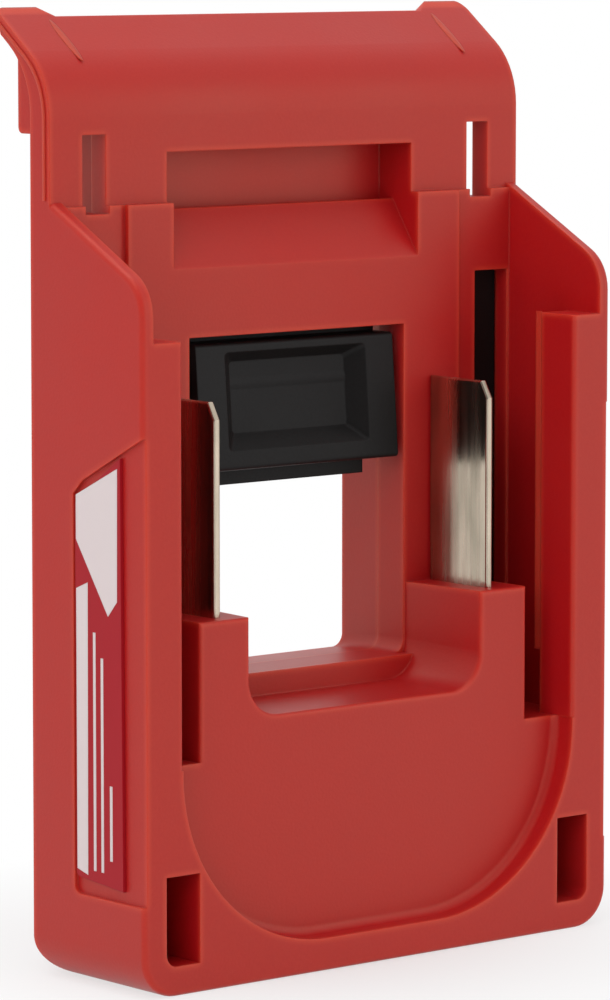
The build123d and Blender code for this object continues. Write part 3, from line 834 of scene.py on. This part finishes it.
def white_world(strength, towards_camera):
    """Even light, white where the camera looks, dimmed in reflections towards the camera."""
    world = bpy.data.worlds.new("studio_world")
    bpy.context.scene.world = world
    world.use_nodes = True
    tree = world.node_tree
    tree.nodes.clear()
    path = tree.nodes.new("ShaderNodeLightPath")
    seen = tree.nodes.new("ShaderNodeMath")
    seen.operation = "MAXIMUM"
    tree.links.new(path.outputs["Is Camera Ray"], seen.inputs[0])
    tree.links.new(path.outputs["Is Transmission Ray"], seen.inputs[1])
    place = tree.nodes.new("ShaderNodeTexCoord")
    facing = tree.nodes.new("ShaderNodeVectorMath")
    facing.operation = "DOT_PRODUCT"
    facing.inputs[1].default_value = towards_camera
    tree.links.new(place.outputs["Generated"], facing.inputs[0])
    dimmed = tree.nodes.new("ShaderNodeMapRange")
    dimmed.inputs["From Min"].default_value = DIM_START
    dimmed.inputs["From Max"].default_value = DIM_END
    dimmed.inputs["To Min"].default_value = 1.0 - strength
    dimmed.inputs["To Max"].default_value = DIM_LEVEL - strength
    tree.links.new(facing.outputs["Value"], dimmed.inputs["Value"])
    mirrored = tree.nodes.new("ShaderNodeMath")
    mirrored.operation = "MULTIPLY_ADD"
    tree.links.new(path.outputs["Is Glossy Ray"], mirrored.inputs[0])
    tree.links.new(dimmed.outputs["Result"], mirrored.inputs[1])
    mirrored.inputs[2].default_value = strength
    bright = tree.nodes.new("ShaderNodeMath")
    bright.operation = "MAXIMUM"
    tree.links.new(seen.outputs["Value"], bright.inputs[0])
    tree.links.new(mirrored.outputs["Value"], bright.inputs[1])
    white = tree.nodes.new("ShaderNodeBackground")
    white.inputs["Color"].default_value = (1, 1, 1, 1)
    out = tree.nodes.new("ShaderNodeOutputWorld")
    tree.links.new(bright.outputs["Value"], white.inputs["Strength"])
    tree.links.new(white.outputs["Background"], out.inputs["Surface"])


def floor_material():
    """Pale floor that fades into the white surround away from the adapter."""
    material, tree, shader = new_material("pale_floor")
    shader.inputs["Base Color"].default_value = FLOOR_COLOUR
    shader.inputs["Roughness"].default_value = FLOOR_ROUGHNESS
    place = tree.nodes.new("ShaderNodeTexCoord")
    reach = tree.nodes.new("ShaderNodeVectorMath")
    reach.operation = "LENGTH"
    tree.links.new(place.outputs["Object"], reach.inputs[0])
    fade = tree.nodes.new("ShaderNodeMapRange")
    fade.inputs["From Min"].default_value = FADE_START
    fade.inputs["From Max"].default_value = FADE_END
    tree.links.new(reach.outputs["Value"], fade.inputs["Value"])
    path = tree.nodes.new("ShaderNodeLightPath")
    looked_at = tree.nodes.new("ShaderNodeMath")
    looked_at.operation = "MAXIMUM"
    tree.links.new(path.outputs["Is Camera Ray"], looked_at.inputs[0])
    tree.links.new(path.outputs["Is Glossy Ray"], looked_at.inputs[1])
    seen = tree.nodes.new("ShaderNodeMath")
    seen.operation = "MULTIPLY"
    tree.links.new(fade.outputs["Result"], seen.inputs[0])
    tree.links.new(looked_at.outputs["Value"], seen.inputs[1])
    glow = tree.nodes.new("ShaderNodeEmission")
    glow.inputs["Strength"].default_value = 1.0
    mix = tree.nodes.new("ShaderNodeMixShader")
    out = tree.nodes["Material Output"]
    tree.links.new(seen.outputs["Value"], mix.inputs["Fac"])
    tree.links.new(shader.outputs["BSDF"], mix.inputs[1])
    tree.links.new(glow.outputs["Emission"], mix.inputs[2])
    tree.links.new(mix.outputs["Shader"], out.inputs["Surface"])
    return material


class ADAPTER_OT_stage(PieceOperator):
    """Sets the floor, the lamps, the surround and the camera"""

    bl_idname = "adapter.stage"
    bl_label = "Stage"

    def execute(self, context):
        stage = props()[2]
        scene = context.scene
        scene.view_settings.view_transform = "Standard"
        white_world(stage.sky, -Vector(stage.camera_aim[:]).normalized())
        bm = bmesh.new()
        bmesh.ops.create_circle(bm, cap_ends=True, radius=FLOOR_RADIUS, segments=FLOOR_STEPS)
        mesh = bpy.data.meshes.new("floor")
        bm.to_mesh(mesh)
        bm.free()
        mesh.materials.append(floor_material())
        floor = bpy.data.objects.new("floor", mesh)
        scene.collection.objects.link(floor)
        key = area_lamp("key_lamp", *KEY_LAMP, stage.key)
        key.visible_glossy = False
        fill = area_lamp("fill_lamp", *FILL_LAMP, stage.fill)
        top = area_lamp("top_lamp", *TOP_LAMP, stage.top)
        data = bpy.data.cameras.new("camera")
        data.lens = stage.lens
        data.sensor_width = SENSOR
        data.clip_start = NEAREST_SEEN
        camera = bpy.data.objects.new("camera", data)
        camera.location = stage.camera_place[:]
        camera.rotation_mode = "QUATERNION"
        camera.rotation_quaternion = Vector(stage.camera_aim[:]).to_track_quat("-Z", "Y")
        scene.collection.objects.link(camera)
        scene.camera = camera
        return {"FINISHED"}


class ADAPTER_PT_panel(bpy.types.Panel):
    """Lists the adapter's steps and values"""

    bl_idname = "ADAPTER_PT_panel"
    bl_label = "Battery adapter"
    bl_space_type = "VIEW_3D"
    bl_region_type = "UI"
    bl_category = "Adapter"

    def draw(self, context):
        layout = self.layout
        for operator in OPERATORS:
            layout.operator(operator.bl_idname)
        for group in props():
            for name in group.__annotations__:
                layout.prop(group, name)


OPERATORS = (
    ADAPTER_OT_red_mouldings,
    ADAPTER_OT_black_parts,
    ADAPTER_OT_metal_parts,
    ADAPTER_OT_springs,
    ADAPTER_OT_blades,
    ADAPTER_OT_label,
    ADAPTER_OT_parting_beads,
    ADAPTER_OT_head_rims,
    ADAPTER_OT_lug_creases,
    ADAPTER_OT_stage,
)
GROUPS = (
    ("adapter_sizes", AdapterSizes),
    ("adapter_colours", AdapterColours),
    ("adapter_stage", AdapterStage),
)


def register():
    for name, group in GROUPS:
        bpy.utils.register_class(group)
        setattr(bpy.types.Scene, name, PointerProperty(type=group))
    for operator in OPERATORS:
        bpy.utils.register_class(operator)
    bpy.utils.register_class(ADAPTER_PT_panel)


def unregister():
    bpy.utils.unregister_class(ADAPTER_PT_panel)
    for operator in reversed(OPERATORS):
        bpy.utils.unregister_class(operator)
    for name, group in reversed(GROUPS):
        delattr(bpy.types.Scene, name)
        bpy.utils.unregister_class(group)


def main():
    register()
    bpy.ops.adapter.stage()
    bpy.ops.adapter.red_mouldings()
    bpy.ops.adapter.black_parts()
    bpy.ops.adapter.metal_parts()
    bpy.ops.adapter.springs()
    bpy.ops.adapter.blades()
    bpy.ops.adapter.label()
    bpy.ops.adapter.parting_beads()
    bpy.ops.adapter.head_rims()
    bpy.ops.adapter.lug_creases()


if __name__ == "__main__":
    main()
